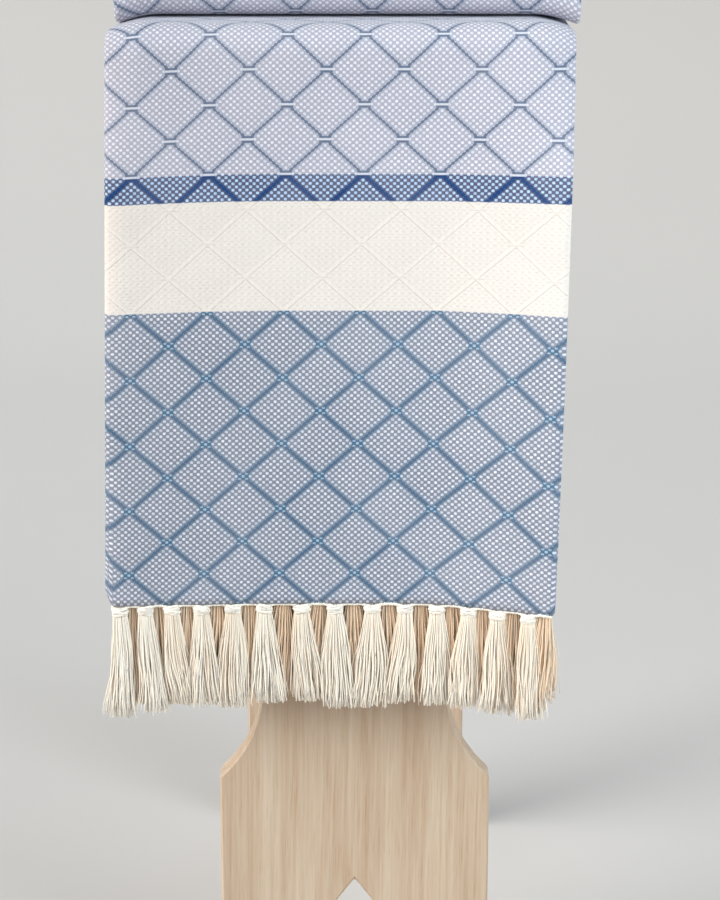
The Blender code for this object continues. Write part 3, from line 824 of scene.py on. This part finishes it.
class Yarns:
    """Round strands gathered into one mesh, with their tint, depth and way along as a colour, which the
    material turns into yarn tint and painted shade.
    """

    def __init__(self):
        self.points = []
        self.faces = []
        self.colours = []

    def add(self, path, radius, sides, tint, behind, closed=False):
        """One strand along a path of vectors. A closed one joins its ends."""
        start = len(self.points)
        count = len(path)
        side = None
        for index, point in enumerate(path):
            if closed:
                along = path[(index + 1) % count] - path[index - 1]
            else:
                along = path[min(index + 1, count - 1)] - path[max(index - 1, 0)]
            along.normalize()
            side = along.orthogonal() if side is None else side - along * side.dot(along)
            side.normalize()
            other = along.cross(side)
            for turn in range(sides):
                angle = 2.0 * math.pi * turn / sides
                offset = side * math.cos(angle) + other * math.sin(angle)
                self.points.append(point + offset * radius)
                self.colours.append((tint, behind, index / (count - 1), 1.0))
        for index in range(count if closed else count - 1):
            here = start + index * sides
            there = start + (index + 1) % count * sides
            for turn in range(sides):
                after = (turn + 1) % sides
                self.faces.append((here + turn, here + after, there + after, there + turn))
        if not closed:
            last = start + (count - 1) * sides
            self.faces.append(tuple(start + turn for turn in reversed(range(sides))))
            self.faces.append(tuple(last + turn for turn in range(sides)))

    def build(self, name, finish):
        mesh = bpy.data.meshes.new(name)
        mesh.from_pydata([tuple(point) for point in self.points], [], self.faces)
        strand = mesh.color_attributes.new("strand", "FLOAT_COLOR", "POINT")
        strand.data.foreach_set("color", [value for row in self.colours for value in row])
        mesh.shade_smooth()
        return add_object(name, mesh, finish)


class Tassel:
    """One knotted bundle of warp ends below a hem."""

    def __init__(self, root, fan, room, outward, length, lean, painted_shade, behind):
        self.root = root          # point of the hem above the knot
        self.fan = fan            # points of the hem whose warp ends run into the knot
        self.room = room          # half width left for the tips
        self.outward = outward    # sign in y of the face that shows
        self.length = length
        self.lean = lean          # sideways way of the tips
        self.painted_shade = painted_shade          # painted shade: how much warmer its yarn is drawn, as if in shade
        self.behind = behind      # 0 on the face, 1 in the layers behind it, where the yarn is drawn warmer as painted shade

    def at(self, across, forward, drop):
        return self.root + Vector((across, forward * self.outward, -drop))

    def add_fan(self, yarns, radius, sides, rng):
        """Warp ends running along the hem into the knot."""
        for start in self.fan:
            away = start - self.root
            path = [start + Vector((0.0, 0.0, -0.0003))]
            path.append(self.root + Vector((away.x * 0.62, away.y * 0.62, away.z * 0.62 - 0.0016)))
            path.append(self.root + Vector((away.x * 0.18, away.y * 0.18, -0.0036)))
            yarns.add(path, radius, sides, rng.random() * 0.4, self.behind)

    def add_knot(self, yarns, rings, radius, sides, rng):
        """Loops of yarn drawn tight round the bundle."""
        for ring in range(rings):
            height = mix(-1.0, 1.0, (ring + 0.5) / rings)
            wide = KNOT_WIDE * math.sqrt(1.0 - 0.55 * height * height) + rng.uniform(-0.0004, 0.0003)
            deep = wide * 0.55
            tilt = math.radians(rng.choice((-1.0, 1.0)) * rng.uniform(8.0, 26.0))
            pitch = math.radians(rng.uniform(-22.0, 22.0))
            drop = KNOT_DROP + height * KNOT_TALL
            steps = 12
            path = []
            for step in range(steps):
                angle = 2.0 * math.pi * step / steps
                across, forward = wide * math.cos(angle), deep * math.sin(angle)
                fall = across * math.tan(tilt) * 0.5 + forward * math.tan(pitch)
                path.append(self.at(across, forward, drop + fall))
            yarns.add(path, radius, sides, rng.random() * 0.2, self.behind, closed=True)

    def add_strands(self, yarns, count, radius, sides, levels, rng):
        """Loose ends below the knot, widening to their tips."""
        sway = rng.uniform(-0.0020, 0.0020)
        turn = rng.uniform(0.0, 2.0 * math.pi)
        locks = [(rng.uniform(-0.0042, 0.0042), rng.uniform(0.0, 2.0 * math.pi), rng.random())
                 for _ in range(9)]
        for index in range(count):
            angle = 2.0 * math.pi * (index + rng.uniform(-0.3, 0.3)) / count * 5.0
            out = 1.0 - 0.17 * (index * 5 // count) * rng.uniform(0.7, 1.0)
            across, forward = out * math.cos(angle), out * math.sin(angle)
            length = self.length * (1.0 + rng.triangular(-0.12, 0.04, 0.01))
            phase = rng.uniform(0.0, 2.0 * math.pi)
            crimp = rng.uniform(0.0002, 0.0009)
            stray = rng.gauss(0.0, 0.0014)
            turned = angle / (2.0 * math.pi) + rng.gauss(0.0, 0.04)
            lock_lean, lock_phase, lock_tint = locks[int(turned * len(locks)) % len(locks)]
            loose = index % 14 == 0
            if loose:
                stray *= 2.6
                crimp *= 2.2
            path = []
            for level in range(levels):
                share = level / (levels - 1)
                drop = mix(NECK_DROP, length, share ** 1.15)
                gone = (drop - NECK_DROP) / (self.length - NECK_DROP)
                wide = mix(NECK_WIDE, self.room, smooth(gone * 1.6) ** 0.65)
                deep = mix(0.0022, 0.0034, smooth(gone * 2.0))
                ripple = crimp * math.sin(phase + 8.0 * gone) * min(gone * 2.0, 1.0)
                bent = sway * math.sin(turn + 4.5 * gone) * gone + lock_lean * gone * gone
                bent += 0.0008 * math.sin(lock_phase + 7.0 * gone) * gone
                x = across * wide + self.lean * gone ** 1.2 + stray * gone * gone + ripple + bent
                y = forward * deep + ripple * 0.6
                path.append(self.at(x, y, drop))
            thick = radius * (0.45 if loose else rng.uniform(0.85, 1.1))
            # Each tassel's painted shade plus a random tint for its lock and strand.
            tint = self.painted_shade + 0.6 * mix(lock_tint, rng.random(), 0.4)
            yarns.add(path, thick, sides, tint, self.behind)


def tassels_of(strip, end, layer, settings, rng):
    """Tassels of one layer at one end of the strip."""
    front = end == "front"
    past = strip.past_front if front else strip.past_rear
    station = past(0.0)
    n = strip.level(layer, strip.pitch(strip.stations[0 if front else -1]))
    knots = [knot / 1000.0 for knot in FACE_KNOTS]
    if layer % 2 != FACE_LAYER % 2:
        knots = [(left + right) / 2 for left, right in zip(knots, knots[1:])]
        knots.append(CORNER_TASSEL / 1000.0)
    made = []
    for index, knot in enumerate(knots):
        spacing = min(abs(knot - other) for other in knots if other != knot)
        reach = min(spacing, FAN_REACH) * 0.46
        fan = [strip.place(station, min(max(knot + reach * share, FAN_ENDS[0]), FAN_ENDS[1]), n)
               for share in (-1.0, -0.75, -0.5, -0.25, 0.0, 0.25, 0.5, 0.75, 1.0)]
        root = strip.place(station, knot, n)
        if layer != FACE_LAYER:
            for point in (root, *fan):
                point.z += HIDDEN_RISE
        longer = LEFT_LONGER if index < 2 else 0.0
        length = settings.length * (1.0 + longer + rng.uniform(-0.04, 0.03))
        lean = rng.uniform(-0.0060, 0.0060)
        room = min(TIP_WIDE, spacing * 0.52) * rng.uniform(0.78, 1.0)
        # Painted light and shade: the two tassels at the left stay pale as if lit from the left, the
        # others get a random warmer shade.
        painted_shade = 0.0 if index < 2 else rng.uniform(0.05, 0.50)
        made.append(Tassel(root, fan, room, -1.0 if front else 1.0,
                           length, lean, painted_shade, 0.0 if layer == FACE_LAYER else 1.0))
    return made


def add_hem_edge(yarns, strip, end, radius, rng):
    """Pale twisted weft along the hem of the face, drawn down a little at each knot."""
    station = strip.past_front(0.0) if end == "front" else strip.past_rear(0.0)
    n = strip.level(FACE_LAYER, strip.pitch(strip.stations[0 if end == "front" else -1]))
    knots = [knot / 1000.0 for knot in FACE_KNOTS]
    radius *= 1.8
    for turn in range(3):
        path = []
        for step in range(HEM_STEPS):
            x = mix(*HEM_ENDS, step / (HEM_STEPS - 1))
            nearest = min(abs(x - knot) for knot in knots)
            pull = HEM_PULL * (1.0 - smooth(nearest / 0.008))
            twist = 2.0 * math.pi * (x / HEM_TWIST + turn / 3)
            point = strip.place(station, x, n + radius * 0.9 * math.cos(twist))
            path.append(point + Vector((0.0, 0.0, radius * 0.9 * math.sin(twist) - 0.0003 - pull)))
        yarns.add(path, radius * 0.9, 4, rng.random() * 0.2, 0.0)


def fringe(name, strip, end, layers, strands, finish, settings, seed):
    """Tassels of some of the layers at one end, as one piece."""
    rng = random.Random(seed)
    yarns = Yarns()
    radius = settings.yarn / 2
    if FACE_LAYER in layers:
        add_hem_edge(yarns, strip, end, radius, rng)
    for layer in layers:
        on_face = layer == FACE_LAYER
        sides = 4 if on_face else 3
        for tassel in tassels_of(strip, end, layer, settings, rng):
            tassel.add_fan(yarns, radius, sides, rng)
            tassel.add_knot(yarns, 10 if on_face else 6, radius * 2.0, sides, rng)
            tassel.add_strands(yarns, strands, radius, sides, 10 if on_face else 8, rng)
    return yarns.build(name, finish)


# Stage

def add_light(name, toward, strength, spread, tint):
    """Even light from far off, soft by its spread in degrees."""
    bpy.ops.object.light_add(type="SUN", location=toward)
    light = bpy.context.object
    light.name = name
    light.rotation_euler = Vector(toward).to_track_quat("Z", "Y").to_euler()
    light.data.angle = math.radians(spread)
    light.data.energy = strength
    light.data.color = tint
    return light


def add_panel(name, place, aim, size, power, tint):
    """Square panel of light close by."""
    bpy.ops.object.light_add(type="AREA", location=place)
    light = bpy.context.object
    light.name = name
    light.rotation_euler = (Vector(place) - Vector(aim)).to_track_quat("Z", "Y").to_euler()
    light.data.size = size
    light.data.spread = math.radians(90.0)
    light.data.energy = power
    light.data.color = tint
    return light


def add_sweep(settings):
    """Floor that curves up into a backdrop."""
    deselect_all()
    bpy.ops.mesh.primitive_plane_add(size=1.0)
    sweep = bpy.context.object
    sweep.name = "studio_sweep"
    bpy.ops.object.mode_set(mode="EDIT")
    bpy.ops.mesh.select_all(action="SELECT")
    bpy.ops.transform.resize(value=(12.0, 8.0, 1.0))
    bpy.ops.transform.translate(value=(0.0, -0.4, -0.0005))
    bpy.ops.mesh.select_all(action="DESELECT")
    bm = bmesh.from_edit_mesh(sweep.data)
    for edge in bm.edges:
        edge.select = all(vert.co.y > 1.0 for vert in edge.verts)
    bmesh.update_edit_mesh(sweep.data)
    bpy.ops.mesh.extrude_region_move(TRANSFORM_OT_translate={"value": (0.0, 0.0, 4.0)})
    bpy.ops.object.mode_set(mode="OBJECT")
    bevel = sweep.modifiers.new("Curve", "BEVEL")
    bevel.width = 1.8
    bevel.segments = 32
    bpy.ops.object.modifier_apply(modifier=bevel.name)
    sweep.data.shade_smooth()
    sweep.data.materials.append(paper_material(settings))


def add_camera():
    bpy.ops.object.camera_add(location=(0.0146, -1.9298, 0.917),
                              rotation=(math.radians(75.0), 0.0, 0.0))
    camera = bpy.context.object
    camera.data.lens = 100.0
    camera.data.sensor_width = 36.0
    bpy.context.scene.camera = camera


# Operators

class THROW_OT_blanket(bpy.types.Operator):
    """Fold the woven cloth over the stool in place of its CAD solid"""

    bl_idname = "throw.blanket"
    bl_label = "Fold Blanket"

    def execute(self, context):
        piece = blanket(context.scene.throw_cloth)
        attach(piece, "root")
        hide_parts("blanket")
        return {"FINISHED"}


class THROW_OT_fringes(bpy.types.Operator):
    """Knot the warp ends of both hems into tassels"""

    bl_idname = "throw.fringes"
    bl_label = "Knot Fringes"

    def execute(self, context):
        settings = context.scene.throw_fringe
        strip = Strip(context.scene.throw_cloth.thickness)
        finish = yarn_material(settings)
        behind = [layer for layer in range(LAYERS) if layer != FACE_LAYER]
        rows = (
            ("front_tassels", "front", [FACE_LAYER], settings.face_strands, "front_fringe", 3),
            ("front_tassels_behind", "front", behind, settings.hidden_strands, "front_fringe", 5),
            ("rear_tassels", "rear", [FACE_LAYER], settings.face_strands * 2 // 3, "rear_fringe", 8),
            ("rear_tassels_behind", "rear", behind, settings.hidden_strands * 2 // 3, "rear_fringe", 13),
        )
        for name, end, layers, strands, node, seed in rows:
            piece = fringe(name, strip, end, layers, strands, finish, settings, seed)
            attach(piece, "root")
            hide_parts(node)
        return {"FINISHED"}


class THROW_OT_stool(bpy.types.Operator):
    """Give the stool's boards their oak finish"""

    bl_idname = "throw.stool"
    bl_label = "Finish Stool"

    def execute(self, context):
        settings = context.scene.stool_finish
        group = oak_grain_group()
        upright = oak_material("oak upright", settings, group, (0.0, 0.0, 0.0))
        lengthwise = oak_material("oak lengthwise", settings, group, (90.0, 0.0, 0.0))
        finishes = {"front_leg": upright, "rear_leg": upright, "seat": lengthwise, "rail": lengthwise}
        for name, finish in finishes.items():
            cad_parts[name].material_slots[0].material = finish
        return {"FINISHED"}


class THROW_OT_stage(bpy.types.Operator):
    """Set up the pale floor and backdrop, the soft lights and the camera"""

    bl_idname = "throw.stage"
    bl_label = "Set Stage"

    def execute(self, context):
        settings = context.scene.studio_stage
        add_sweep(settings)
        add_light("key", (-2.6, -0.84, 1.25), settings.key, 45.0, (1.0, 0.98, 0.95))
        add_light("top", (0.0, -0.5, 2.4), settings.top, 90.0, (0.62, 0.87, 0.98))
        add_panel("side", (0.92, -0.88, 0.80), (0.05, -0.1, 0.45), 0.8, settings.side, (0.84, 0.94, 1.0))
        add_camera()
        world = bpy.data.worlds.new("studio light")
        world.use_nodes = True
        sky = world.node_tree.nodes["Background"]
        sky.inputs["Color"].default_value = (1.0, 0.95, 0.90, 1.0)
        sky.inputs["Strength"].default_value = settings.fill
        context.scene.world = world
        context.scene.view_settings.view_transform = "Standard"
        return {"FINISHED"}


class THROW_PT_sidebar(bpy.types.Panel):
    """Sizes, colours and steps of the folded throw"""

    bl_idname = "THROW_PT_sidebar"
    bl_label = "Folded Throw"
    bl_space_type = "VIEW_3D"
    bl_region_type = "UI"
    bl_category = "Throw"

    def draw(self, context):
        scene = context.scene
        rows = (
            (scene.throw_cloth, THROW_OT_blanket),
            (scene.throw_fringe, THROW_OT_fringes),
            (scene.stool_finish, THROW_OT_stool),
            (scene.studio_stage, THROW_OT_stage),
        )
        for settings, operator in rows:
            box = self.layout.box()
            for name in settings.__annotations__:
                box.prop(settings, name)
            box.operator(operator.bl_idname)


PROPERTIES = {
    "throw_cloth": ThrowCloth,
    "throw_fringe": ThrowFringe,
    "stool_finish": StoolFinish,
    "studio_stage": StudioStage,
}
CLASSES = (*PROPERTIES.values(), THROW_OT_blanket, THROW_OT_fringes, THROW_OT_stool,
           THROW_OT_stage, THROW_PT_sidebar)


def register():
    for item in CLASSES:
        bpy.utils.register_class(item)
    for name, group in PROPERTIES.items():
        setattr(bpy.types.Scene, name, PointerProperty(type=group))


def unregister():
    for name in PROPERTIES:
        delattr(bpy.types.Scene, name)
    for item in reversed(CLASSES):
        bpy.utils.unregister_class(item)


def flat_size(thickness):
    """Width and length that the cloth was cut to."""
    strip = Strip(thickness)
    across = strip.flat_across()
    return across[-1] - across[0], strip.flat_along()[-1][FACE_LAYER]


def main():
    register()
    bpy.ops.throw.blanket()
    bpy.ops.throw.fringes()
    bpy.ops.throw.stool()
    bpy.ops.throw.stage()
    flat_size(bpy.context.scene.throw_cloth.thickness)


if __name__ == "__main__":
    main()
